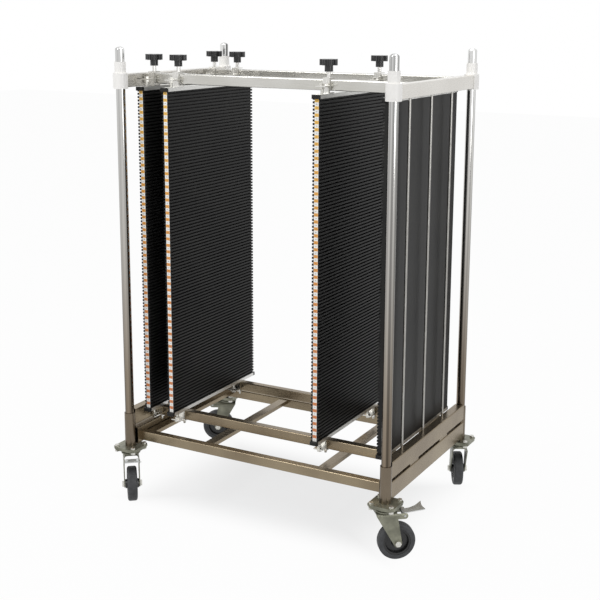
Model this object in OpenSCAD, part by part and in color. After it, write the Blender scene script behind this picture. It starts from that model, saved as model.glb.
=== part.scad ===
// Mobile rack for circuit boards: a stainless tube trolley on four braked
// swivel casters. One comb board is fixed at the right end. Three more hang
// from the top rails, slide along them and are locked by star knobs.
// Millimetres. Z is up, X runs along the rails, Y from front to back,
// and the origin is on the floor under the middle of the frame.

/* [Posts] */
// Distance between post axes along the rails
post_pitch_x = 892; // [760:1:1200]
// Distance between post axes across the rack
post_pitch_y = 568; // [540:1:700]
// Outside diameter of the posts
post_d = 28; // [25:0.5:32]
// Wall thickness of the posts
post_wall = 1.5; // [1:0.1:3]
// Outside diameter of the domed post ends
post_end_d = 27; // [24:0.5:28]
// Free height of the post ends above the corner fittings
post_over = 36; // [20:1:80]
// Rise of the domes on the post ends
cap_rise = 8; // [4:0.5:12]
// Outside diameter of the leg sleeves
sleeve_d = 34; // [33.5:0.5:38]
// Height of the leg sleeves
sleeve_h = 109; // [90:1:120]

/* [Base frame] */
// Underside of the lower end tubes
low_tube_z = 178; // [175:1:184]
// Height of the lower end tubes
low_tube_h = 52; // [44:1:54]
// Width of the lower end tubes
low_tube_w = 40; // [36:1:50]
// Gap between the lower and the upper end tubes
tube_gap = 9; // [6:0.5:14]
// Height of the upper end tubes
up_tube_h = 50; // [46:1:60]
// Width of the upper end tubes and of the top end beams
end_tube_w = 30; // [26:1:34]
// Height of the long base tubes
beam_h = 30; // [24:1:32]
// Depth of every long tube
beam_w = 25; // [20:1:30]
// Wall thickness of the square tubes
tube_wall = 1.5; // [1:0.1:2.5]
// Rounding of the square tubes
tube_r = 3; // [2:0.5:4]
// Setback of the lower long tubes from the post axes
low_beam_inset = 38.5; // [34:0.5:60]
// Depth of the flat crossbars
crossbar_h = 12; // [6:1:20]
// Width of the flat crossbars
crossbar_w = 30; // [20:1:40]

/* [Top frame] */
// Distance between the centre lines of the front and back rails
rail_pitch_y = 332; // [300:1:350]
// Room between the boards' channels and the top rails
rail_gap = 7.8; // [6:0.1:10]
// Height of the top rails
rail_h = 31; // [28:1:32]
// Height of the top end beams
end_beam_h = 40; // [36:1:42]
// Diameter of the guard rods at the right end
rod_d = 8; // [6:0.5:10]
// Spacing of the guard rods
rod_pitch = 153; // [120:1:170]
// Height of the corner fittings' wide lower part
fitting_low_h = 46; // [45:1:50]
// Diameter of the corner fittings' wide lower part
fitting_low_d = 45; // [44:0.5:50]
// Height of the corner fittings' upper collar
fitting_up_h = 33; // [20:1:40]
// Diameter of the corner fittings' upper collar
fitting_up_d = 34; // [33:0.5:38]

/* [Comb boards] */
// Number of slots on each side of a board
slot_count = 100; // [80:1:100]
// Distance from slot to slot
slot_pitch = 10; // [9:0.1:10]
// Front-to-back depth of a board
board_depth = 472; // [420:1:480]
// Thickness of a board over its teeth
board_t = 26; // [24:0.5:28]
// Height of the teeth on each side
tooth_h = 6.5; // [4:0.5:7]
// Width of a slot at its mouth
slot_mouth = 4.4; // [3.6:0.2:8]
// Width of a slot at its floor
slot_floor = 2.4; // [2:0.2:3.4]
// Width of the aluminium channels
channel_w = 24; // [22:0.5:26]
// Height of the aluminium channels
channel_h = 11.4; // [11:0.1:11.6]
// Position of the first adjustable board
board_1_x = -408; // [-410:1:-400]
// Position of the second adjustable board
board_2_x = -319; // [-330:1:-300]
// Position of the third adjustable board
board_3_x = 192; // [150:1:230]
// Distance of the fixed board from the right post axes
fixed_board_inset = 40; // [38:1:60]

/* [Clamps] */
// Width of the clamp brackets
clamp_w = 22; // [16:1:28]
// Thickness of the clamp brackets
clamp_t = 3; // [2:0.5:4]
// Width of the hanger shelves
shelf_w = 31; // [24:1:36]
// Reach of the hanger shelves in front of the clamp legs
shelf_reach = 34; // [28:1:38]
// Diameter of the hanger bolts
hanger_d = 8; // [6:1:10]
// Diameter of the star knobs over their lobes
knob_d = 53; // [46:1:54]
// Thickness of the star knobs' lobes
knob_h = 17; // [12:1:20]
// Number of lobes on a star knob
knob_lobes = 7; // [5:1:8]
// Diameter of the clamp screws
screw_d = 12; // [8:1:12]
// Height of the star knobs' lobes above the rails
knob_z = 39; // [32:1:44]

/* [Casters] */
// Diameter of the wheels
wheel_d = 109; // [98:1:112]
// Width of the wheels
wheel_w = 30; // [24:1:34]
// Trail of the wheels behind the swivel axes
trail = 33; // [30:1:38]
// Length of the mounting plates
plate_x = 84; // [78:1:92]
// Depth of the mounting plates
plate_y = 80; // [76:1:90]
// Diameter of the plate bolts
plate_bolt_d = 8; // [6:1:8]
// Clearance between a moving pin and its hole, on the radius
pin_fit = 0.05; // [0.02:0.01:0.1]
// Clearance between pieces that slide past each other
slide_gap = 0.4; // [0.3:0.1:0.6]

/* [Hidden] */
$fn = 48;

// Corners in the order front left, front right, back right, back left
post_x = post_pitch_x / 2;
post_y = post_pitch_y / 2;
corners = [[-post_x, -post_y], [post_x, -post_y],
    [post_x, post_y], [-post_x, post_y]];
// Direction in which each caster trails
caster_turn = [-50, 38, 118, 208];

// Base heights, from the floor up
plate_t = 6;
top_plate_t = 4;
plate_top_z = 171;
plate_z = plate_top_z - plate_t;
top_plate_z = plate_z - top_plate_t;
up_tube_z = low_tube_z + low_tube_h + tube_gap;
low_beam_z = low_tube_z + 5;
base_rail_z = up_tube_z + 7;
base_rail_top = base_rail_z + beam_h;
low_beam_y = post_y - low_beam_inset;
rail_y = rail_pitch_y / 2;
end_inner_x = post_x - end_tube_w / 2;
low_inner_x = post_x + end_tube_w / 2 - low_tube_w;
crossbar_x = [-402, -182, 218];
spacer_y = 112;
spacer_l = 60;

// Comb boards: the bottom channel runs just above the base rails
board_h = slot_count * slot_pitch;
channel_wall = 1.6;
channel_z = base_rail_top + slide_gap;
board_z = channel_z + channel_h;
top_channel_z = board_z + board_h;
top_channel_top = top_channel_z + channel_h;
cap_over = 10;
cap_bevel = 1.5;
cap_gap = 0.2;
core_t = board_t - 2 * tooth_h;
fixed_x = post_x - fixed_board_inset;

// Top heights, from the boards up
rail_z = top_channel_top + rail_gap;
rail_top_z = rail_z + rail_h;
end_beam_z = rail_top_z - end_beam_h;
fitting_z = end_beam_z - 3;
fitting_step_z = fitting_z + fitting_low_h;
post_top_z = fitting_step_z + fitting_up_h;
socket_wall = 2.5;
end_beam_y = post_y - post_d / 2 - socket_wall;
rod_x = end_inner_x + rod_d / 2;

// Clamp bracket, in the frame of one rail: x = 0 at the board, y = 0 at the
// rail's middle. The leg stands in front of the rail.
leg_y = -beam_w / 2 - slide_gap - clamp_t;
flange_z = rail_top_z + 2;
hanger_y = leg_y - 24;
shelf_rise = 20;
shelf_z = top_channel_top + shelf_rise;
flange_over = 2;

// Guide bracket under the base rails
guide_flange_z = base_rail_z - 2 - clamp_t;
guide_shelf_z = channel_z - shelf_rise - clamp_t;
guide_screw_d = 8;
guide_screw_tip = 11;

// Casters, in the frame of one swivel axis with x along the trail
housing_d = 52;
housing_z = top_plate_z - 6;
cup_h = 3.5;
crown_z = housing_z - 7;
crown_r = 30;
axle_z = wheel_d / 2;
axle_d = 10;
axle_boss = 12;
cheek_t = 3;
cheek_gap = wheel_w + 14;
cheek_top_h = 8;
fold_r = 12;
core_d = 80;
pedal_x = 52;
pedal_z = crown_z - 11;
pedal_pin_d = 6;
pedal_hub_d = 12;
ear_r = 9;
bolt_inset = 11;
bolt_x = plate_x / 2 - bolt_inset;
bolt_y = plate_y / 2 - bolt_inset;
plate_chamfer = 9;

// ---------- shared shapes ----------

// Outline of a square tube, w wide and h high, centred
module tube_outline(w, h) {
    difference() {
        rounded_rect(w, h, tube_r);
        rounded_rect(w - 2 * tube_wall, h - 2 * tube_wall, tube_r - tube_wall);
    }
}

module rounded_rect(w, h, r) {
    offset(r = r, $fn = 24) square([w - 2 * r, h - 2 * r], center = true);
}

// Square tube along X, from its lowest edge at z
module tube_x(length, w, h, z) {
    translate([-length / 2, 0, z + h / 2])
        rotate([90, 0, 90])
            linear_extrude(length) tube_outline(w, h);
}

// Square tube along Y, from its lowest edge at z
module tube_y(length, w, h, z) {
    translate([0, length / 2, z + h / 2])
        rotate([90, 0, 0])
            linear_extrude(length) tube_outline(w, h);
}

module box(x0, x1, y0, y1, z0, z1) {
    translate([x0, y0, z0]) cube([x1 - x0, y1 - y0, z1 - z0]);
}

module pin(d, z0, z1) {
    translate([0, 0, z0]) cylinder(d = d, h = z1 - z0);
}

// Hexagon across flats
module hexagon(af, z0, z1) {
    translate([0, 0, z0]) cylinder(d = af / cos(30), h = z1 - z0, $fn = 6);
}

module at_corners() {
    for (c = corners) translate([c[0], c[1], 0]) children();
}

module at_bolts() {
    for (sx = [-1, 1], sy = [-1, 1])
        translate([sx * bolt_x, sy * bolt_y, 0]) children();
}

// Room for the leg sleeves in the ends of the base tubes
module sleeve_cut() {
    at_corners() pin(sleeve_d, plate_top_z, up_tube_z + up_tube_h + 1);
}

// ---------- frame ----------

module lower_base_frame() {
    color("silver") {
        difference() {
            for (s = [-1, 1])
                translate([s * (low_inner_x + low_tube_w / 2), 0, 0])
                    tube_y(2 * post_y - 16, low_tube_w, low_tube_h, low_tube_z);
            sleeve_cut();
        }
        for (s = [-1, 1]) translate([0, s * low_beam_y, 0])
            tube_x(2 * low_inner_x, beam_w, beam_h, low_beam_z);
        for (x = crossbar_x)
            translate([x, 0, 0])
                box(-crossbar_w / 2, crossbar_w / 2,
                    -low_beam_y + beam_w / 2, low_beam_y - beam_w / 2,
                    low_beam_z + beam_h - crossbar_h - tube_r,
                    low_beam_z + beam_h - tube_r);
    }
}

module upper_base_frame() {
    color("silver") {
        difference() {
            for (s = [-1, 1]) translate([s * post_x, 0, 0])
                tube_y(2 * post_y, end_tube_w, up_tube_h, up_tube_z);
            sleeve_cut();
        }
        for (s = [-1, 1]) translate([0, s * rail_y, 0])
            tube_x(2 * end_inner_x, beam_w, beam_h, base_rail_z);
    }
}

module base_spacers() {
    color("silver")
        for (sx = [-1, 1], sy = [-1, 1])
            translate([sx * post_x, sy * spacer_y, 0])
                box(-end_tube_w / 2 + tube_r, end_tube_w / 2 - tube_r,
                    -spacer_l / 2, spacer_l / 2,
                    low_tube_z + low_tube_h, up_tube_z);
}

module leg_sleeves() {
    color("silver")
        at_corners() difference() {
            pin(sleeve_d, plate_top_z, plate_top_z + sleeve_h);
            pin(post_d, plate_top_z - 1, plate_top_z + sleeve_h + 1);
        }
}

// Plate with cut corners and four bolt holes
module bolted_plate(z0, z1, cut) {
    x = plate_x / 2;
    y = plate_y / 2;
    difference() {
        translate([0, 0, z0]) linear_extrude(z1 - z0) polygon([
            [cut - x, -y], [x - cut, -y], [x, cut - y], [x, y - cut],
            [x - cut, y], [cut - x, y], [-x, y - cut], [-x, cut - y]]);
        at_bolts() pin(plate_bolt_d, z0 - 1, z1 + 1);
    }
}

module mounting_plates() {
    color("darkgray")
        at_corners() bolted_plate(plate_z, plate_top_z, plate_chamfer);
}

module posts() {
    color("gainsboro")
        at_corners() difference() {
            pin(post_d, plate_top_z, post_top_z);
            pin(post_d - 2 * post_wall, plate_top_z - 1, post_top_z + 1);
        }
}

// Domed post end with a plug that sits in the tube
module post_caps() {
    end_r = post_end_d / 2;
    plug_r = post_d / 2 - post_wall;
    plug_h = 25;
    steps = 10;
    dome = [for (i = [0 : steps])
        [end_r * cos(90 * i / steps), post_over + cap_rise * sin(90 * i / steps)]];
    color("gainsboro")
        at_corners() translate([0, 0, post_top_z])
            rotate_extrude()
                polygon(concat([[0, -plug_h], [plug_r, -plug_h], [plug_r, 0],
                    [end_r, 0]], dome));
}

module corner_fittings() {
    color("white")
        for (c = corners) translate([c[0], c[1], 0]) difference() {
            union() {
                pin(fitting_low_d, fitting_z, fitting_step_z);
                pin(fitting_up_d, fitting_step_z, post_top_z);
            }
            pin(post_d, fitting_z - 1, post_top_z + 1);
            socket(c[1] > 0 ? -1 : 1);
        }
}

// Socket for the end beam, open towards the middle of the rack
module socket(side) {
    scale([1, side, 1])
        box(-end_tube_w / 2, end_tube_w / 2,
            post_d / 2 + socket_wall, fitting_low_d,
            end_beam_z, rail_top_z);
}

module top_end_beams() {
    color("silver")
        for (s = [-1, 1]) translate([s * post_x, 0, 0])
            tube_y(2 * end_beam_y, end_tube_w, end_beam_h, end_beam_z);
}

module top_rails() {
    color("silver")
        for (s = [-1, 1]) translate([0, s * rail_y, 0])
            tube_x(2 * end_inner_x, beam_w, rail_h, rail_z);
}

module guard_rods() {
    color("silver")
        for (k = [-1, 0, 1]) translate([rod_x, k * rod_pitch, 0])
            pin(rod_d, up_tube_z + up_tube_h, end_beam_z);
}

// ---------- comb boards ----------

// One side's outline of the slots, as points from the bottom to the top
function slot_points(side) = [for (i = [0 : slot_count - 1])
    let (z = (i + 0.5) * slot_pitch)
    for (p = [[board_t / 2, z - slot_mouth / 2],
              [core_t / 2, z - slot_floor / 2],
              [core_t / 2, z + slot_floor / 2],
              [board_t / 2, z + slot_mouth / 2]])
        [side * p[0], p[1]]];

function backwards(list) =
    [for (i = [len(list) - 1 : -1 : 0]) list[i]];

// Comb board with slots from front to back, on both sides or on the left
// side alone. Plain tongues at its ends stand in the channels.
module comb_board(x, both_sides) {
    tongue = channel_h - channel_wall;
    outline = concat(
        [[-core_t / 2, -tongue], [core_t / 2, -tongue], [core_t / 2, 0],
         [board_t / 2, 0]],
        both_sides ? slot_points(1) : [],
        [[board_t / 2, board_h], [core_t / 2, board_h],
         [core_t / 2, board_h + tongue], [-core_t / 2, board_h + tongue],
         [-core_t / 2, board_h], [-board_t / 2, board_h]],
        backwards(slot_points(-1)),
        [[-board_t / 2, 0], [-core_t / 2, 0]]);
    translate([x, board_depth / 2, board_z])
        rotate([90, 0, 0]) linear_extrude(board_depth) polygon(outline);
}

// U channel along Y with its open side at z = 0 facing down
module channel() {
    difference() {
        box(-channel_w / 2, channel_w / 2, -board_depth / 2, board_depth / 2,
            0, channel_h);
        box(-core_t / 2, core_t / 2, -board_depth / 2 - 1, board_depth / 2 + 1,
            -1, channel_h - channel_wall);
    }
}

module board_channels(x) {
    translate([x, 0, top_channel_z]) channel();
    translate([x, 0, board_z]) mirror([0, 0, 1]) channel();
}

// Moulded caps on both ends of both channels of a board
module end_caps(x) {
    half_w = channel_w / 2;
    for (s = [-1, 1], z = [channel_z, top_channel_z])
        translate([x, s * (board_depth / 2 + cap_gap), z]) scale([1, s, 1])
            hull() {
                box(-half_w, half_w, 0, cap_over - cap_bevel, 0, channel_h);
                box(cap_bevel - half_w, half_w - cap_bevel, 0, cap_over,
                    cap_bevel, channel_h - cap_bevel);
            }
}

module whole_board(x, both_sides = true) {
    comb_board(x, both_sides);
    end_caps(x);
}

module fixed_board() {
    color("dimgray") whole_board(fixed_x, both_sides = false);
}

module fixed_board_channels() {
    color("silver") board_channels(fixed_x);
}

// Packers that join the fixed board to the rails above and below it
module fixed_board_packers() {
    color("silver")
        for (s = [-1, 1]) translate([fixed_x, s * rail_y, 0]) {
            box(-channel_w / 2, channel_w / 2, -beam_w / 2 + tube_r,
                beam_w / 2 - tube_r, top_channel_top, rail_z);
            box(-channel_w / 2, channel_w / 2, -beam_w / 2 + tube_r,
                beam_w / 2 - tube_r, base_rail_top, channel_z);
        }
}

// ---------- clamps and guides of the adjustable boards ----------

// C-shaped bracket round the rail with a shelf in front for the hanger bolt
module clamp_bracket() {
    back_y = beam_w / 2 + flange_over;
    difference() {
        union() {
            box(-clamp_w / 2, clamp_w / 2, leg_y, leg_y + clamp_t,
                top_channel_top, flange_z + clamp_t);
            box(-clamp_w / 2, clamp_w / 2, leg_y, back_y,
                flange_z, flange_z + clamp_t);
            box(-clamp_w / 2, clamp_w / 2, leg_y, beam_w / 2,
                top_channel_top, top_channel_top + clamp_t);
            box(-shelf_w / 2, shelf_w / 2, leg_y - shelf_reach, leg_y + clamp_t,
                shelf_z, shelf_z + clamp_t);
        }
        pin(screw_d + 2 * pin_fit, flange_z - 1, flange_z + clamp_t + 1);
        translate([0, hanger_y, 0]) pin(hanger_d, shelf_z - 1, shelf_z + clamp_t + 1);
    }
}

// The same bracket turned over, round the base rail below the board
module guide_bracket() {
    difference() {
        union() {
            box(-clamp_w / 2, clamp_w / 2, leg_y, leg_y + clamp_t,
                guide_flange_z, channel_z);
            box(-clamp_w / 2, clamp_w / 2, leg_y, beam_w / 2 + flange_over,
                guide_flange_z, guide_flange_z + clamp_t);
            box(-shelf_w / 2, shelf_w / 2, leg_y - shelf_reach, leg_y + clamp_t,
                guide_shelf_z, guide_shelf_z + clamp_t);
        }
        pin(guide_screw_d, guide_flange_z - 1, guide_flange_z + clamp_t + 1);
        translate([0, hanger_y, 0])
            pin(hanger_d, guide_shelf_z - 1, guide_shelf_z + clamp_t + 1);
    }
}

module board_clamps(x) {
    color("silver")
        for (s = [-1, 1]) translate([x, s * rail_y, 0]) clamp_bracket();
}

module board_guides(x) {
    color("silver")
        for (s = [-1, 1]) translate([x, s * rail_y, 0]) guide_bracket();
}

// Hanger bolts with nuts above and below each shelf, and the guides' screws
module board_bolts(x) {
    nut_af = 1.6 * hanger_d;
    nut_h = 0.8 * hanger_d;
    color("gainsboro")
        for (s = [-1, 1]) translate([x, s * rail_y, 0]) {
            translate([0, hanger_y, 0]) {
                pin(hanger_d, top_channel_top, shelf_z + clamp_t + nut_h);
                hexagon(nut_af, shelf_z + clamp_t, shelf_z + clamp_t + nut_h);
                hexagon(nut_af, shelf_z - nut_h, shelf_z);
                pin(hanger_d, guide_shelf_z - nut_h, channel_z);
                hexagon(nut_af, guide_shelf_z - nut_h, guide_shelf_z);
                hexagon(nut_af, guide_shelf_z + clamp_t,
                    guide_shelf_z + clamp_t + nut_h);
            }
            pin(guide_screw_d, guide_flange_z - guide_screw_tip,
                base_rail_z - slide_gap);
        }
}

// Bow handle on the middle of the top channel
module board_handle(x) {
    bow_l = 90;
    bow_h = 30;
    bow_w = 16;
    bow_t = 3;
    foot = 14;
    outer = [for (i = [0 : 12]) [
        (bow_l / 2 - foot) * cos(180 * i / 12),
        bow_h * pow(sin(180 * i / 12), 0.7)]];
    inner = [for (i = [12 : -1 : 0]) [
        (bow_l / 2 - foot - bow_t) * cos(180 * i / 12),
        (bow_h - bow_t) * pow(sin(180 * i / 12), 0.7)]];
    color("dimgray") translate([x, 0, top_channel_top]) {
        translate([-bow_w / 2, 0, 0]) rotate([90, 0, 90])
            linear_extrude(bow_w) polygon(concat(outer, inner));
        for (s = [-1, 1])
            box(-bow_w / 2, bow_w / 2,
                s > 0 ? bow_l / 2 - foot - bow_t : -bow_l / 2,
                s > 0 ? bow_l / 2 : -bow_l / 2 + foot + bow_t,
                0, bow_t);
    }
}

// Star knob with its hub and steel screw, at the rail's middle
module star_knob(x, s) {
    lobe_r = 6.2;
    ring_r = knob_d / 2 - lobe_r;
    lobes_z = rail_top_z + knob_z;
    hub_z = lobes_z - 17.5;
    color("black") translate([x, s * rail_y, 0]) {
        pin(2 * ring_r, lobes_z, lobes_z + knob_h);
        for (i = [0 : knob_lobes - 1])
            rotate(360 * i / knob_lobes) translate([ring_r, 0, 0])
                pin(2 * lobe_r, lobes_z, lobes_z + knob_h, $fn = 24);
        pin(24, hub_z, lobes_z);
        pin(screw_d, rail_top_z + slide_gap, hub_z);
    }
}

// ---------- casters ----------

module caster_top_plates() {
    color("darkgray")
        at_corners() difference() {
            union() {
                bolted_plate(top_plate_z, plate_z, plate_chamfer + 4);
                pin(housing_d, housing_z, top_plate_z);
            }
            pin(axle_d + 2 * pin_fit, housing_z - 1, plate_z - 1);
        }
}

module plate_fasteners() {
    head_h = 5.3;
    nut_h = 6.5;
    af = 13;
    color("gainsboro")
        at_corners() at_bolts() {
            hexagon(af, plate_top_z, plate_top_z + head_h);
            pin(plate_bolt_d, top_plate_z - nut_h, plate_top_z);
            hexagon(af, top_plate_z - nut_h, top_plate_z);
        }
}

module at_caster(i) {
    translate([corners[i][0], corners[i][1], 0])
        rotate(caster_turn[i]) children();
}

// Arch, half_w wide each way and rounded at the top, as a flat outline
module arch(half_w, top, r) {
    translate([-half_w, 0]) square([2 * half_w, top - r]);
    translate([r - half_w, 0]) square([2 * (half_w - r), top]);
    for (s = [-1, 1]) translate([s * (half_w - r), top - r]) circle(r);
}

// Side outline of the fork: cheeks that taper to the axle, and ears for the
// brake pin
module fork_side() {
    hull() {
        translate([trail, axle_z]) circle(axle_boss);
        translate([-crown_r, crown_z - cheek_top_h]) square([2 * crown_r, 1]);
    }
    translate([-crown_r, crown_z - cheek_top_h]) square([2 * crown_r, cheek_top_h]);
    hull() {
        translate([pedal_x, pedal_z]) circle(ear_r);
        translate([0, pedal_z - ear_r]) square([1, 2 * ear_r]);
    }
}

// Fork folded from one sheet, with the swivel cup and the king pin on top
module caster_fork(i) {
    outer_y = cheek_gap / 2 + cheek_t;
    reach = pedal_x + ear_r + crown_r;
    color("darkkhaki") at_caster(i) difference() {
        union() {
            intersection() {
                translate([0, outer_y, 0]) rotate([90, 0, 0])
                    linear_extrude(2 * outer_y) fork_side();
                translate([-crown_r, 0, 0]) rotate([90, 0, 90])
                    linear_extrude(reach) difference() {
                        arch(outer_y, crown_z, fold_r);
                        translate([0, -1])
                            arch(cheek_gap / 2, crown_z + 1 - cheek_t,
                                fold_r - cheek_t);
                    }
            }
            pin(2 * crown_r, crown_z, crown_z + cup_h);
            pin(2 * crown_r - 8, crown_z + cup_h, housing_z - slide_gap);
            pin(axle_d, crown_z, plate_z - 2);
        }
        box(crown_r, reach, -cheek_gap / 2, cheek_gap / 2,
            pedal_z - 2 * ear_r, crown_z + 1);
        translate([trail, outer_y + 1, axle_z]) rotate([90, 0, 0])
            cylinder(d = axle_d, h = 2 * outer_y + 2);
        translate([pedal_x, outer_y + 1, pedal_z]) rotate([90, 0, 0])
            cylinder(d = pedal_pin_d + 2 * pin_fit, h = 2 * outer_y + 2);
    }
}

// Axle bolt with a head and a nut
module caster_axle(i) {
    half = cheek_gap / 2 + cheek_t;
    color("gainsboro") at_caster(i)
        translate([trail, 0, axle_z]) rotate([90, 0, 0]) {
            translate([0, 0, -half]) cylinder(d = axle_d, h = 2 * half);
            hexagon(16, half, half + 6);
            hexagon(16, -half - 6, -half);
        }
}

// Tyre with rounded shoulders
module caster_tyre(i) {
    r = wheel_d / 2;
    w = wheel_w / 2;
    shoulder = 7;
    edge = [for (a = [0 : 15 : 90])
        [r - shoulder + shoulder * sin(a), w - shoulder + shoulder * cos(a)]];
    outline = concat([[core_d / 2, -w], [core_d / 2, w]], edge,
        [for (p = backwards(edge)) [p[0], -p[1]]]);
    color("dimgray") at_caster(i)
        translate([trail, 0, axle_z]) rotate([90, 0, 0])
            rotate_extrude($fn = 72) polygon(outline);
}

// Wheel core with a hub, a thin web and a rim
module caster_core(i) {
    w = wheel_w / 2;
    hub_w = cheek_gap / 2 - 0.6;
    color("black") at_caster(i)
        translate([trail, 0, axle_z]) rotate([90, 0, 0])
            rotate_extrude($fn = 72) polygon([
                [axle_d / 2 + pin_fit, -hub_w], [14, -hub_w], [17, -9],
                [32, -7], [34, -w + 1], [core_d / 2, -w + 1],
                [core_d / 2, w - 1], [34, w - 1], [32, 7], [17, 9],
                [14, hub_w], [axle_d / 2 + pin_fit, hub_w]]);
}

// Brake pedal: a curved tread with a flared tail, its hub and the pin
module caster_pedal(i) {
    hub_l = cheek_gap - 2;
    pin_l = cheek_gap + 2 * cheek_t + 2;
    tread_t = 2.5;
    tread_r = 130;
    root = 13;
    tail = 27;
    plan = [[0, -root], [20, -root], [38, -17], [57, -tail], [54, -8],
        [54, 8], [57, tail], [38, 17], [20, root], [0, root]];
    color("gray") at_caster(i) translate([pedal_x, 0, pedal_z]) {
        rotate([90, 0, 0]) translate([0, 0, -hub_l / 2])
            cylinder(d = pedal_hub_d, h = hub_l);
        rotate([90, 0, 0]) translate([0, 0, -pin_l / 2])
            cylinder(d = pedal_pin_d, h = pin_l);
        intersection() {
            linear_extrude(4 * pedal_hub_d, center = true) polygon(plan);
            translate([0, tail, tread_r + pedal_hub_d / 2 - tread_t]) rotate([90, 0, 0])
                difference() {
                    cylinder(r = tread_r, h = 2 * tail, $fn = 96);
                    translate([0, 0, -1])
                        cylinder(r = tread_r - tread_t, h = 2 * tail + 2, $fn = 96);
                }
        }
    }
}

// ---------- the assembly ----------

lower_base_frame();
upper_base_frame();
base_spacers();
leg_sleeves();
mounting_plates();
posts();
post_caps();
corner_fittings();
top_end_beams();
top_rails();
guard_rods();
fixed_board();
fixed_board_channels();
fixed_board_packers();
plate_fasteners();
caster_top_plates();
color("dimgray") whole_board(board_1_x);  // board_1
color("silver") board_channels(board_1_x);  // board_1_channels
board_clamps(board_1_x);  // board_1_clamps
board_guides(board_1_x);  // board_1_guides
board_bolts(board_1_x);  // board_1_bolts
board_handle(board_1_x);  // board_1_handle
color("dimgray") whole_board(board_2_x);  // board_2
color("silver") board_channels(board_2_x);  // board_2_channels
board_clamps(board_2_x);  // board_2_clamps
board_guides(board_2_x);  // board_2_guides
board_bolts(board_2_x);  // board_2_bolts
board_handle(board_2_x);  // board_2_handle
color("dimgray") whole_board(board_3_x);  // board_3
color("silver") board_channels(board_3_x);  // board_3_channels
board_clamps(board_3_x);  // board_3_clamps
board_guides(board_3_x);  // board_3_guides
board_bolts(board_3_x);  // board_3_bolts
board_handle(board_3_x);  // board_3_handle
star_knob(board_1_x, -1);  // knob_1_front
star_knob(board_1_x, 1);  // knob_1_back
star_knob(board_2_x, -1);  // knob_2_front
star_knob(board_2_x, 1);  // knob_2_back
star_knob(board_3_x, -1);  // knob_3_front
star_knob(board_3_x, 1);  // knob_3_back
caster_fork(0);  // caster_1_fork
caster_axle(0);  // caster_1_axle
caster_tyre(0);  // caster_1_tyre
caster_core(0);  // caster_1_core
caster_pedal(0);  // caster_1_pedal
caster_fork(1);  // caster_2_fork
caster_axle(1);  // caster_2_axle
caster_tyre(1);  // caster_2_tyre
caster_core(1);  // caster_2_core
caster_pedal(1);  // caster_2_pedal
caster_fork(2);  // caster_3_fork
caster_axle(2);  // caster_3_axle
caster_tyre(2);  // caster_3_tyre
caster_core(2);  // caster_3_core
caster_pedal(2);  // caster_3_pedal
caster_fork(3);  // caster_4_fork
caster_axle(3);  // caster_4_axle
caster_tyre(3);  // caster_4_tyre
caster_core(3);  // caster_4_core
caster_pedal(3);  // caster_4_pedal
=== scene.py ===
"""Looks of the wheeled rack for circuit boards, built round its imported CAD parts.

Metres. Z is up, X runs along the rails, Y from front to back.
"""

import math

import bmesh
import bpy
from mathutils import Matrix, Vector


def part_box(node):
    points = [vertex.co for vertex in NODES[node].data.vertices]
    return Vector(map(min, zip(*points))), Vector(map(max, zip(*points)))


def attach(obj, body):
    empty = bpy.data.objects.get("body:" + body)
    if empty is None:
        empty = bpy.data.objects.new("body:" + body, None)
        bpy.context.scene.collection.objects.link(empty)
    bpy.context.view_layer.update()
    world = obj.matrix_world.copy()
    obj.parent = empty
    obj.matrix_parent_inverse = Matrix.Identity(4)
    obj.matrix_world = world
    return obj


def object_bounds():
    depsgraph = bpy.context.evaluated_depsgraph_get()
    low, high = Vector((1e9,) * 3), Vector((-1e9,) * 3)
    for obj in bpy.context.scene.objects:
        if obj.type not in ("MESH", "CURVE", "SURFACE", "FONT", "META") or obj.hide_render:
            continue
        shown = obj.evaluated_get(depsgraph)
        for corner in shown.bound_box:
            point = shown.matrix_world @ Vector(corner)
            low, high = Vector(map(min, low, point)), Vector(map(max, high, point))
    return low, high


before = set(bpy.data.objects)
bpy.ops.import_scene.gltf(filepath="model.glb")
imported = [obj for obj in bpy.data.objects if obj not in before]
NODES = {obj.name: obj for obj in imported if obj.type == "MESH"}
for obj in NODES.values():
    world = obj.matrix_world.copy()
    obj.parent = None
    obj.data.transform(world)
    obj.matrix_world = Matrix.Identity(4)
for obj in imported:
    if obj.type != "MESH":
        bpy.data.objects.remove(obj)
CAD_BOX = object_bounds()
MM = 0.001


# ---------- camera, floor and light ----------

CAMERA_PLACE = (1.6958, -3.0300, 1.5244)
CAMERA_AZIMUTH = math.radians(28.29)
CAMERA_PITCH = math.radians(11.83)
CAMERA_ROLL = math.radians(0.38)
CAMERA_LENS = 68.62
CAMERA_SHIFT = (-0.0264, -0.0821)
SENSOR_WIDTH = 36

LAMP_TARGET = (0, 0, 0.7)
LAMPS = (  # name, place, size, power
    ("key", (-1.6, -3.2, 3.2), (1.6, 1.6), 70),
    ("fill", (3.6, -1.4, 1.8), (1.4, 2.4), 36),
    ("top", (0.2, 0.3, 3.4), (2.0, 2.0), 34))
AMBIENT_COLOUR = (1.0, 0.985, 0.965, 1)
AMBIENT_STRENGTH = 0.55
WHITE = (1, 1, 1, 1)

FLOOR_HALF = 14
FLOOR_GREY = (0.52, 0.53, 0.55, 1)
FOOTPRINT_INSET = (0.05, 0.06)


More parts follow.
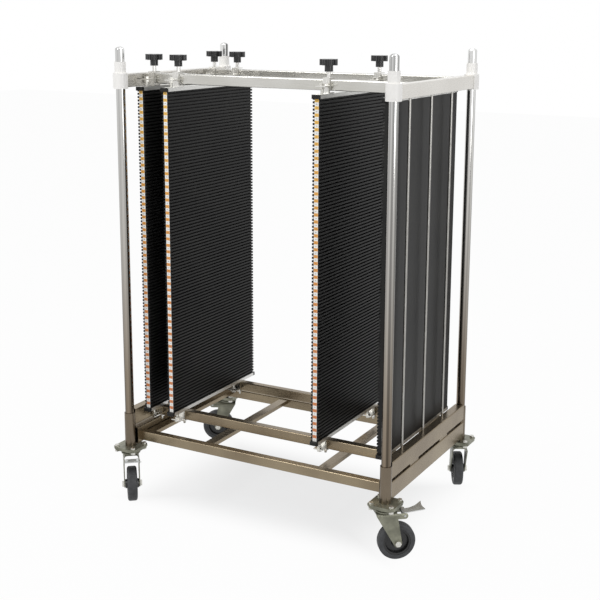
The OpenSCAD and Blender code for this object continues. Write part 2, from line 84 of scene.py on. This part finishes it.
def add_camera():
    data = bpy.data.cameras.new("camera")
    data.lens = CAMERA_LENS
    data.sensor_width = SENSOR_WIDTH
    data.shift_x, data.shift_y = CAMERA_SHIFT
    data.clip_end = 100
    camera = bpy.data.objects.new("camera", data)
    bpy.context.scene.collection.objects.link(camera)
    turn = Matrix.Rotation(CAMERA_AZIMUTH, 4, "Z")
    tilt = Matrix.Rotation(math.pi / 2 - CAMERA_PITCH, 4, "X")
    roll = Matrix.Rotation(CAMERA_ROLL, 4, "Z")
    camera.matrix_world = Matrix.Translation(CAMERA_PLACE) @ turn @ tilt @ roll
    bpy.context.scene.camera = camera
    bpy.context.scene.view_settings.view_transform = "Standard"


def add_area_light(name, place, target, size, power):
    data = bpy.data.lights.new(name, "AREA")
    data.shape = "RECTANGLE"
    data.size, data.size_y = size
    data.energy = power
    light = bpy.data.objects.new(name, data)
    bpy.context.scene.collection.objects.link(light)
    light.location = place
    look = Vector(target) - Vector(place)
    light.rotation_euler = look.to_track_quat("-Z", "Y").to_euler()


def add_lights():
    for name, place, size, power in LAMPS:
        add_area_light(name, place, LAMP_TARGET, size, power)


def is_seen_directly(tree):
    """Socket that is 1 where a ray from the camera, a mirror or glass arrives."""
    path = tree.nodes.new("ShaderNodeLightPath")
    either = math_node(tree, "MAXIMUM", path.outputs["Is Camera Ray"],
                       path.outputs["Is Glossy Ray"])
    return math_node(tree, "MAXIMUM", either,
                     path.outputs["Is Transmission Ray"])


def add_world():
    """Plain soft light, white where the camera, metal or glass looks at it."""
    world = bpy.data.worlds.new("studio")
    world.use_nodes = True
    bpy.context.scene.world = world
    tree = world.node_tree
    tree.nodes.clear()
    ambient = tree.nodes.new("ShaderNodeBackground")
    ambient.inputs["Color"].default_value = AMBIENT_COLOUR
    ambient.inputs["Strength"].default_value = AMBIENT_STRENGTH
    white = tree.nodes.new("ShaderNodeBackground")
    white.inputs["Color"].default_value = WHITE
    white.inputs["Strength"].default_value = 1.0
    seen = tree.nodes.new("ShaderNodeMixShader")
    tree.links.new(is_seen_directly(tree), seen.inputs[0])
    tree.links.new(ambient.outputs[0], seen.inputs[1])
    tree.links.new(white.outputs[0], seen.inputs[2])
    out = tree.nodes.new("ShaderNodeOutputWorld")
    tree.links.new(seen.outputs[0], out.inputs["Surface"])


def set_ramp(ramp, stops):
    """Gives a colour ramp node its stops, as pairs of a place and a colour."""
    elements = ramp.color_ramp.elements
    while len(elements) < len(stops):
        elements.new(0.5)
    for element, (place, colour) in zip(elements, stops):
        element.position = place
        element.color = (*colour, 1)


def add_floor():
    """Big plain floor, almost white to the camera, that keeps a soft shadow."""
    mesh = bpy.data.meshes.new("floor")
    half = FLOOR_HALF
    mesh.from_pydata([(-half, -half, 0), (half, -half, 0), (half, half, 0),
                      (-half, half, 0)], [], [(0, 1, 2, 3)])
    floor = bpy.data.objects.new("floor", mesh)
    bpy.context.scene.collection.objects.link(floor)
    material = bpy.data.materials.new("floor")
    material.use_nodes = True
    tree = material.node_tree
    tree.nodes.clear()
    matt = tree.nodes.new("ShaderNodeBsdfDiffuse")
    matt.inputs["Color"].default_value = FLOOR_GREY
    glow = tree.nodes.new("ShaderNodeEmission")
    glow.inputs["Color"].default_value = WHITE
    glow.inputs["Strength"].default_value = 1.0
    both = tree.nodes.new("ShaderNodeMixShader")
    shade = floor_shade(tree)
    tree.links.new(shade, both.inputs[0])
    tree.links.new(matt.outputs[0], both.inputs[1])
    tree.links.new(glow.outputs[0], both.inputs[2])
    out = tree.nodes.new("ShaderNodeOutputMaterial")
    tree.links.new(both.outputs[0], out.inputs["Surface"])
    mesh.materials.append(material)


def floor_shade(tree):
    """Share of plain white in the floor: less inside the rack's footprint, so
    the shaded floor shows through the base, and nearly 1 away from it."""
    high = CAD_BOX[1]
    geometry = tree.nodes.new("ShaderNodeNewGeometry")
    split = tree.nodes.new("ShaderNodeSeparateXYZ")
    tree.links.new(geometry.outputs["Position"], split.inputs[0])
    half_x = high[0] - FOOTPRINT_INSET[0]
    half_y = high[1] - FOOTPRINT_INSET[1]
    in_x = math_node(tree, "DIVIDE", math_node(tree, "ABSOLUTE", split.outputs["X"]),
                     half_x)
    in_y = math_node(tree, "DIVIDE", math_node(tree, "ABSOLUTE", split.outputs["Y"]),
                     half_y)
    reach = math_node(tree, "MAXIMUM", in_x, in_y)
    edge = tree.nodes.new("ShaderNodeMapRange")
    edge.interpolation_type = "SMOOTHSTEP"
    edge.inputs["From Min"].default_value = 0.45
    edge.inputs["From Max"].default_value = 1.05
    edge.inputs["To Min"].default_value = 0.72
    edge.inputs["To Max"].default_value = 0.97
    tree.links.new(reach, edge.inputs["Value"])
    return math_node(tree, "MULTIPLY", edge.outputs["Result"],
                     is_seen_directly(tree))


# ---------- node helpers ----------

def math_node(tree, operation, first, second=None, third=None):
    """Math node with sockets or plain numbers as inputs. Returns its output."""
    node = tree.nodes.new("ShaderNodeMath")
    node.operation = operation
    for socket, value in zip(node.inputs, (first, second, third)):
        if value is None:
            continue
        if isinstance(value, (int, float)):
            socket.default_value = value
        else:
            tree.links.new(value, socket)
    return node.outputs[0]


class Finish:
    """Builds one material round a Principled shader, in object metres."""

    def __init__(self, name, **plain):
        self.material = bpy.data.materials.new(name)
        self.material.use_nodes = True
        self.tree = self.material.node_tree
        self.shader = self.tree.nodes["Principled BSDF"]
        self.place = self.tree.nodes.new("ShaderNodeTexCoord").outputs["Object"]
        for key, value in plain.items():
            self.set(key, value)

    def set(self, key, value):
        socket = self.shader.inputs[key.replace("_", " ")]
        if isinstance(value, tuple):
            value = (*value, 1)
        socket.default_value = value

    def noise(self, scale, detail=3, stretch=(1, 1, 1)):
        mapping = self.tree.nodes.new("ShaderNodeMapping")
        mapping.inputs["Scale"].default_value = stretch
        self.tree.links.new(self.place, mapping.inputs["Vector"])
        noise = self.tree.nodes.new("ShaderNodeTexNoise")
        noise.inputs["Scale"].default_value = scale
        noise.inputs["Detail"].default_value = detail
        self.tree.links.new(mapping.outputs[0], noise.inputs["Vector"])
        return noise.outputs["Fac"]

    def ramp(self, value, stops):
        ramp = self.tree.nodes.new("ShaderNodeValToRGB")
        set_ramp(ramp, stops)
        self.tree.links.new(value, ramp.inputs["Fac"])
        return ramp.outputs["Color"]

    def spread(self, value, low, high, from_low=0.3, from_high=0.7):
        node = self.tree.nodes.new("ShaderNodeMapRange")
        node.inputs["From Min"].default_value = from_low
        node.inputs["From Max"].default_value = from_high
        node.inputs["To Min"].default_value = low
        node.inputs["To Max"].default_value = high
        self.tree.links.new(value, node.inputs["Value"])
        return node.outputs["Result"]

    def blend(self, share, first, second, kind="MIX"):
        mix = self.tree.nodes.new("ShaderNodeMix")
        mix.data_type = "RGBA"
        mix.blend_type = kind
        for socket, value in ((mix.inputs["Factor"], share), (mix.inputs[6], first),
                              (mix.inputs[7], second)):
            if isinstance(value, tuple):
                socket.default_value = (*value, 1)
            elif isinstance(value, (int, float)):
                socket.default_value = value
            else:
                self.tree.links.new(value, socket)
        return mix.outputs[2]

    def colour(self, output):
        self.tree.links.new(output, self.shader.inputs["Base Color"])

    def roughness(self, output):
        self.tree.links.new(output, self.shader.inputs["Roughness"])

    def bump(self, height, strength, distance):
        node = self.tree.nodes.new("ShaderNodeBump")
        node.inputs["Strength"].default_value = strength
        node.inputs["Distance"].default_value = distance
        self.tree.links.new(height, node.inputs["Height"])
        self.tree.links.new(node.outputs[0], self.shader.inputs["Normal"])

    def axis(self, name):
        split = self.tree.nodes.new("ShaderNodeSeparateXYZ")
        self.tree.links.new(self.place, split.inputs[0])
        return split.outputs[name]


# ---------- materials ----------

KNOB_H = 17 * MM
KNOB_HUB_H = 17.5 * MM
FINE_RELIEF = 0.0002
GREY_93 = (0.93, 0.93, 0.93)
FULL = (1, 1, 1)


def polished_tube_steel(name, light, dark, along, rough):
    """Stainless square tube: fine polishing lines along one axis, stains."""
    finish = Finish(name, Metallic=0.9)
    fine = {"X": (0.03, 1, 1), "Y": (1, 0.03, 1), "Z": (1, 1, 0.03)}[along]
    lines = finish.noise(900, 2, fine)
    stains = finish.noise(5, 3)
    shade = finish.ramp(stains, ((0.36, dark), (0.66, light)))
    tint = finish.ramp(lines, ((0.3, GREY_93), (0.7, FULL)))
    finish.colour(finish.blend(1.0, shade, tint, "MULTIPLY"))
    finish.roughness(finish.spread(lines, rough - 0.06, rough + 0.08))
    finish.bump(lines, 0.08, FINE_RELIEF)
    return finish.material


def mirror_steel(name):
    """Drawn round tube, darker and browner towards the bottom, with long dark streaks of
    painted reflection and fine lines in its roughness.
    """
    finish = Finish(name, Metallic=1.0)
    height = finish.axis("Z")
    # Colour darker and browner towards the bottom, lightest at the top.
    colour = finish.ramp(
        finish.spread(height, 0, 1, 0.2, 1.4),
        ((0.0, (0.20, 0.155, 0.11)), (0.18, (0.27, 0.225, 0.175)),
         (0.50, (0.46, 0.44, 0.41)), (1.0, (0.74, 0.74, 0.73))))
    # Painted reflection: long dark streaks darken the mirror tube's colour where a real
    # tube would reflect the room.
    painted_reflection_streaks = finish.noise(85, 2, (1, 1, 0.004))
    dark = finish.ramp(painted_reflection_streaks, ((0.36, (0.22, 0.22, 0.22)),
                                 (0.48, (0.62, 0.62, 0.62)), (0.60, (1, 1, 1))))
    finish.colour(finish.blend(1.0, colour, dark, "MULTIPLY"))
    lines = finish.noise(700, 2, (1, 1, 0.02))
    finish.roughness(finish.spread(lines, 0.07, 0.16))
    return finish.material


def sheet_steel(name, deep=(0.56, 0.55, 0.52), pale=(0.78, 0.77, 0.74)):
    """Bright folded sheet or rod with upright polishing lines."""
    finish = Finish(name, Metallic=1.0)
    lines = finish.noise(600, 3, (1, 1, 0.05))
    finish.colour(finish.ramp(lines, ((0.3, deep), (0.7, pale))))
    finish.roughness(finish.spread(lines, 0.16, 0.30))
    finish.bump(lines, 0.06, FINE_RELIEF)
    return finish.material


def zinc(name, base=(0.20, 0.20, 0.155)):
    """Zinc plate: faint yellow green bloom with darker blotches."""
    finish = Finish(name, Metallic=0.75)
    blotch = finish.noise(34, 5)
    fine = finish.noise(420, 3)
    pale = tuple(min(1, c * 1.45) for c in base)
    deep = tuple(c * 0.72 for c in base)
    finish.colour(finish.ramp(blotch, ((0.3, deep), (0.5, base), (0.72, pale))))
    finish.roughness(finish.spread(fine, 0.30, 0.46))
    finish.bump(fine, 0.10, FINE_RELIEF)
    return finish.material


def pedal_steel(name):
    """Pale pressed steel of the brake pedals."""
    finish = Finish(name, Metallic=0.7)
    grain = finish.noise(260, 3, (1, 1, 0.2))
    finish.colour(finish.ramp(grain, ((0.3, (0.46, 0.47, 0.46)),
                                      (0.7, (0.60, 0.61, 0.60)))))
    finish.roughness(finish.spread(grain, 0.34, 0.5))
    finish.bump(grain, 0.1, FINE_RELIEF)
    return finish.material


def white_plastic(name):
    """Smooth white moulding with a faint grain and scuffs."""
    finish = Finish(name, Roughness=0.38)
    finish.set("Coat_Weight", 0.15)
    scuffs = finish.noise(60, 5)
    finish.colour(finish.ramp(scuffs, ((0.3, (0.84, 0.83, 0.81)),
                                       (0.62, (0.90, 0.89, 0.87)))))
    finish.bump(finish.noise(900, 2), 0.05, FINE_RELIEF)
    return finish.material


def comb_plastic(name):
    """Black conductive plastic, satin, greyer where dust lies."""
    finish = Finish(name, Roughness=0.42)
    finish.set("Specular_IOR_Level", 0.2)
    dust = finish.noise(7, 4)
    grain = finish.noise(1500, 2)
    finish.colour(finish.ramp(dust, ((0.3, (0.008, 0.008, 0.008)),
                                     (0.7, (0.015, 0.015, 0.014)))))
    finish.roughness(finish.spread(grain, 0.36, 0.52))
    finish.bump(grain, 0.12, FINE_RELIEF)
    return finish.material


def aluminium(name):
    """Satin extrusion with drawing lines along Y."""
    finish = Finish(name, Metallic=0.85)
    lines = finish.noise(800, 2, (1, 0.02, 1))
    finish.colour(finish.ramp(lines, ((0.3, (0.62, 0.62, 0.60)),
                                      (0.7, (0.80, 0.80, 0.78)))))
    finish.roughness(finish.spread(lines, 0.30, 0.42))
    finish.bump(lines, 0.08, FINE_RELIEF)
    return finish.material


def gloss_black(name, base, rough):
    """Gloss black moulding with a faint mottle."""
    finish = Finish(name, Roughness=rough)
    finish.set("Specular_IOR_Level", 0.5)
    mottle = finish.noise(180, 4)
    finish.colour(finish.ramp(mottle, ((0.3, (base, base, base)),
                                       (0.7, (base * 1.9, base * 1.9, base * 2)))))
    finish.roughness(finish.spread(mottle, rough - 0.05, rough + 0.12))
    finish.bump(finish.noise(1100, 2), 0.06, FINE_RELIEF)
    return finish.material


def knob_finish(name):
    """Gloss black star and hub on a bright steel shank below them."""
    finish = Finish(name, Roughness=0.22)
    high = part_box("knob_1_front")[1]
    shank_top = high[2] - KNOB_H - KNOB_HUB_H
    is_star = math_node(finish.tree, "GREATER_THAN", finish.axis("Z"), shank_top)
    mottle = finish.noise(180, 4)
    star = finish.ramp(mottle, ((0.3, (0.010, 0.010, 0.010)),
                                (0.7, (0.020, 0.020, 0.021))))
    finish.colour(finish.blend(is_star, (0.74, 0.73, 0.71), star))
    finish.tree.links.new(math_node(finish.tree, "SUBTRACT", 1.0, is_star),
                          finish.shader.inputs["Metallic"])
    finish.roughness(finish.spread(mottle, 0.16, 0.34))
    finish.bump(finish.noise(1100, 2), 0.06, FINE_RELIEF)
    return finish.material


def tyre_rubber(name):
    """Dark grey rubber with fine scuffs and dust."""
    finish = Finish(name)
    dust = finish.noise(70, 5)
    grain = finish.noise(1300, 3)
    finish.colour(finish.ramp(dust, ((0.32, (0.030, 0.031, 0.033)),
                                     (0.66, (0.052, 0.054, 0.057)))))
    finish.roughness(finish.spread(grain, 0.50, 0.72))
    finish.bump(grain, 0.2, 0.0003)
    return finish.material


def fastener_steel(name):
    """Plated screws and nuts."""
    finish = Finish(name, Metallic=1.0)
    grain = finish.noise(500, 3)
    finish.colour(finish.ramp(grain, ((0.3, (0.46, 0.45, 0.41)),
                                      (0.7, (0.70, 0.69, 0.65)))))
    finish.roughness(finish.spread(grain, 0.22, 0.38))
    return finish.material


def make_materials():
    warm, brown = (0.30, 0.245, 0.165), (0.215, 0.17, 0.115)
    return {
        "base": polished_tube_steel("base_tube_steel", warm, brown, "X", 0.26),
        "sleeve": polished_tube_steel("sleeve_steel", (0.22, 0.18, 0.13),
                                      (0.15, 0.12, 0.09), "Z", 0.26),
        "rail": polished_tube_steel("rail_steel", (0.62, 0.61, 0.58),
                                    (0.54, 0.53, 0.49), "X", 0.17),
        "end_beam": polished_tube_steel("end_beam_steel", (0.72, 0.70, 0.66),
                                        (0.66, 0.64, 0.60), "Y", 0.24),
        "post": mirror_steel("post_steel"),
        "sheet": sheet_steel("clamp_steel"),
        "rod": sheet_steel("rod_steel", (0.30, 0.29, 0.27), (0.44, 0.43, 0.41)),
        "zinc": zinc("zinc_plate"),
        "pedal": pedal_steel("pedal_steel"),
        "white": white_plastic("white_fitting"),
        "comb": comb_plastic("comb_plastic"),
        "channel": aluminium("channel_aluminium"),
        "knob": knob_finish("knob_plastic"),
        "hub": gloss_black("wheel_core", 0.006, 0.28),
        "tyre": tyre_rubber("tyre_rubber"),
        "fastener": fastener_steel("fastener_steel"),
        "bow": sheet_steel("bow_steel"),
    }


NODE_FINISH = {
    "lower_base_frame": "base", "upper_base_frame": "base",
    "base_spacers": "base", "leg_sleeves": "sleeve", "mounting_plates": "zinc",
    "posts": "post", "post_caps": "post", "corner_fittings": "white",
    "top_end_beams": "end_beam", "top_rails": "rail", "guard_rods": "rod",
    "fixed_board": "comb", "fixed_board_channels": "channel",
    "fixed_board_packers": "channel", "plate_fasteners": "fastener",
    "caster_top_plates": "zinc"}
ENDING_FINISH = (
    ("_channels", "channel"), ("_clamps", "sheet"), ("_guides", "sheet"),
    ("_bolts", "fastener"), ("_handle", "bow"), ("_fork", "zinc"),
    ("_axle", "fastener"), ("_tyre", "tyre"), ("_core", "hub"),
    ("_pedal", "pedal"), ("_front", "knob"), ("_back", "knob"))


def finish_of(node):
    """Name of the finish that a CAD node wears."""
    if node in NODE_FINISH:
        return NODE_FINISH[node]
    for ending, finish in ENDING_FINISH:
        if node.endswith(ending):
            return finish
    return "comb"


def dress_cad_nodes(materials):
    for name, thing in NODES.items():
        thing.data.materials.clear()
        thing.data.materials.append(materials[finish_of(name)])


# ---------- pieces added to the CAD ----------

SLOT_PITCH = 10 * MM
CORE_W = 13 * MM
CAP_DEPTH = 10.2 * MM
CHANNEL_H = 11.4 * MM
STRIP_T = 0.5 * MM
CELL_H = 9.2 * MM
CELL_MARGIN = 0.3 * MM
CELL_PROUD = 0.1 * MM
NUMBER_H = 3.4 * MM
NUMBER_PROUD = 0.15 * MM
DIGIT_GAP = 0.4 * MM
FONT_TO_DIGIT = 1.35


def new_piece(name, mesh, body, slot, *materials):
    """Piece of the scene that rides a body of the frame."""
    piece = bpy.data.objects.new(name, mesh)
    bpy.context.scene.collection.objects.link(piece)
    for material in materials:
        mesh.materials.append(material)
    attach(piece, body)
    return piece


def add_block(shape, low, high, material=0):
    """Block between two corners, added to a bmesh."""
    middle = [(a + b) / 2 for a, b in zip(low, high)]
    sides = [b - a for a, b in zip(low, high)]
    place = Matrix.Translation(middle) @ Matrix.Diagonal((*sides, 1))
    made = bmesh.ops.create_cube(shape, size=1, matrix=place)["verts"]
    for face in {face for vert in made for face in vert.link_faces}:
        face.material_index = material


def scale_strip_material():
    """White vinyl, with cells from yellow at the top to orange at the foot."""
    paper = Finish("strip_white", Roughness=0.35)
    paper.colour(paper.ramp(paper.noise(40, 3), ((0.3, (0.84, 0.84, 0.82)),
                                                (0.7, (0.92, 0.92, 0.90)))))
    cell = Finish("strip_orange", Roughness=0.35)
    fade = cell.spread(cell.axis("Z"), 0, 1, 0.29, 1.28)
    colour = cell.ramp(fade, ((0.0, (0.62, 0.17, 0.035)), (0.35, (0.72, 0.24, 0.03)),
                              (0.7, (0.80, 0.36, 0.03)), (1.0, (0.86, 0.50, 0.06))))
    ink = cell.spread(cell.noise(300, 3), 0.0, 0.16)
    cell.colour(cell.blend(ink, colour, (0.95, 0.8, 0.6)))
    number = Finish("strip_number", Roughness=0.4)
    number.colour(number.ramp(number.noise(900, 2), ((0.3, (0.05, 0.05, 0.05)),
                                                    (0.7, (0.09, 0.09, 0.09)))))
    return paper.material, cell.material, number.material


def digit_shapes():
    """Flat mesh data for the digits 0 to 9 in the built-in typeface."""
    shapes = []
    for digit in "0123456789":
        curve = bpy.data.curves.new("digit", "FONT")
        curve.body = digit
        curve.size = NUMBER_H * FONT_TO_DIGIT
        curve.resolution_u = 3
        holder = bpy.data.objects.new("digit", curve)
        bpy.context.scene.collection.objects.link(holder)
        bpy.context.view_layer.update()
        mesh = holder.to_mesh()
        points = [vert.co.copy() for vert in mesh.vertices]
        polygons = [tuple(p.vertices) for p in mesh.polygons]
        shapes.append((points, polygons, max(point.x for point in points)))
        holder.to_mesh_clear()
        bpy.data.objects.remove(holder)
        bpy.data.curves.remove(curve)
    return shapes


def add_number(shape, number, centre, shapes, material):
    """Number on the plane Y = centre[1], facing the front."""
    digits = [shapes[int(character)] for character in str(number)]
    width = sum(digit[2] for digit in digits) + DIGIT_GAP * (len(digits) - 1)
    left = centre[0] - width / 2
    for points, polygons, advance in digits:
        verts = [shape.verts.new((left + point.x, centre[1],
                                  centre[2] + point.y - NUMBER_H / 2))
                 for point in points]
        for polygon in polygons:
            face = shape.faces.new([verts[i] for i in polygon])
            face.material_index = material
        left += advance + DIGIT_GAP


def add_scale_strip(name, board, body, materials, shapes):
    """Numbered strip down the front edge of a comb board, one cell a slot."""
    low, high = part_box(board)
    middle = (low[0] + high[0]) / 2
    front = low[1] + CAP_DEPTH
    top = high[2] - CHANNEL_H
    count = round((high[2] - low[2] - 2 * CHANNEL_H) / SLOT_PITCH)
    shape = bmesh.new()
    half = CORE_W / 2
    add_block(shape, (middle - half, front - STRIP_T, top - count * SLOT_PITCH),
              (middle + half, front, top))
    face_y = front - STRIP_T
    for index in range(count):
        centre_z = top - (index + 0.5) * SLOT_PITCH
        if index % 2 == 0:
            add_block(shape, (middle - half + CELL_MARGIN, face_y - CELL_PROUD,
                              centre_z - CELL_H / 2),
                      (middle + half - CELL_MARGIN, face_y,
                       centre_z + CELL_H / 2), 1)
        add_number(shape, count - index,
                   (middle, face_y - NUMBER_PROUD, centre_z), shapes, 2)
    mesh = bpy.data.meshes.new(name)
    shape.to_mesh(mesh)
    shape.free()
    new_piece(name, mesh, body, "black_comb_plastic", *materials)


def add_scale_strips():
    materials = scale_strip_material()
    shapes = digit_shapes()
    for k in (1, 2, 3):
        add_scale_strip(f"board_{k}_strip", f"board_{k}", f"carriage_{k}",
                        materials, shapes)


# ---------- run ----------

add_camera()
add_world()
add_lights()
add_floor()
MATERIALS = make_materials()
dress_cad_nodes(MATERIALS)
add_scale_strips()
